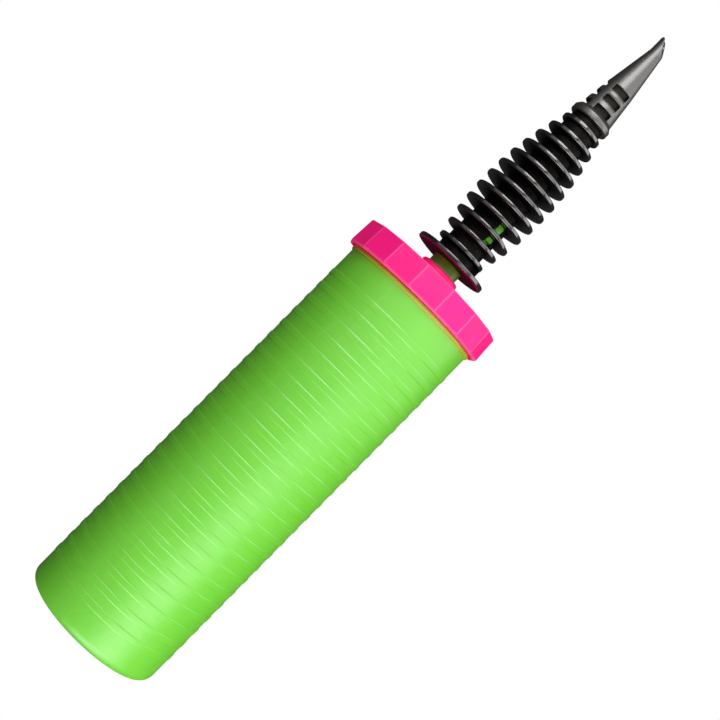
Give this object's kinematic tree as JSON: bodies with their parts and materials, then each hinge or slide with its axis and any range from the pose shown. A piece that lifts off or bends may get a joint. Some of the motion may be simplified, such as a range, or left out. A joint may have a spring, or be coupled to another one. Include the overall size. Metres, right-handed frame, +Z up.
{
  "type": "ball inflation pump",
  "caption": "Upright double-action hand pump: banded barrel, faceted cap, hollow sliding rod with piston, and a finned grip ending in a tapered nozzle for balloons and beach balls.",
  "frame": {"origin": "middle of the flat base, on the barrel's axis", "axes": "+Z up the axis, from the base to the nozzle; +X to the side of the larger gusset under the first fin"},
  "size_m": [0.0612, 0.0612, 0.29],
  "materials": {
    "barrel_green": "semi-gloss translucent lime green",
    "cap_pink": "glossy hot pink",
    "rod_green": "glossy lime green",
    "grip_black": "glossy black",
    "nozzle_black": "satin black",
    "inner_white": "natural white moulding",
    "seal_rubber": "soft black rubber",
    "valve_film": "translucent film",
    "ball_white": "polished white"
  },
  "bodies": {
    "housing": {"barrel": "barrel_green", "cap": "cap_pink", "cap_gasket": "seal_rubber", "rod_wiper": "seal_rubber", "seal_retainer": "inner_white", "cap_valve_guard": "inner_white", "base_valve_cage": "inner_white"},
    "base_valve": {"base_valve_disc": "valve_film"},
    "cap_valve": {"cap_valve_ring": "valve_film"},
    "piston_seals": {"lower_cup_seal": "seal_rubber", "upper_cup_seal": "seal_rubber"},
    "plunger": {"piston_lower_plate": "inner_white", "piston_upper_plate": "inner_white", "piston_spacer": "inner_white", "piston_nut": "inner_white", "ball_stop": "inner_white", "piston_rod": "rod_green", "rod_top_seal": "seal_rubber", "bump_stop": "seal_rubber", "grip": "grip_black", "nozzle": "nozzle_black"},
    "piston_valve": {"piston_valve_ring": "valve_film"},
    "ball_valve": {"valve_ball": "ball_white"}
  },
  "joints": [
    {"name": "plunger_slide", "type": "slide", "parent": "housing", "child": "piston_seals", "axis": [0, 0, 1], "range_m": [-0.0035, 0.126]},
    {"name": "plunger_spin", "type": "hinge", "parent": "piston_seals", "child": "plunger", "pos_m": [0, 0, 0.1], "axis": [0, 0, 1], "continuous": true},
    {"name": "base_valve_lift", "type": "slide", "parent": "housing", "child": "base_valve", "axis": [0, 0, 1], "range_m": [0, 0.001]},
    {"name": "cap_valve_lift", "type": "slide", "parent": "housing", "child": "cap_valve", "axis": [0, 0, 1], "range_m": [0, 0.0009]},
    {"name": "piston_valve_lift", "type": "slide", "parent": "plunger", "child": "piston_valve", "axis": [0, 0, 1], "range_m": [0, 0.0011]},
    {"name": "ball_lift", "type": "slide", "parent": "plunger", "child": "ball_valve", "axis": [0, 0, 1], "range_m": [0, 0.0008]}
  ]
}
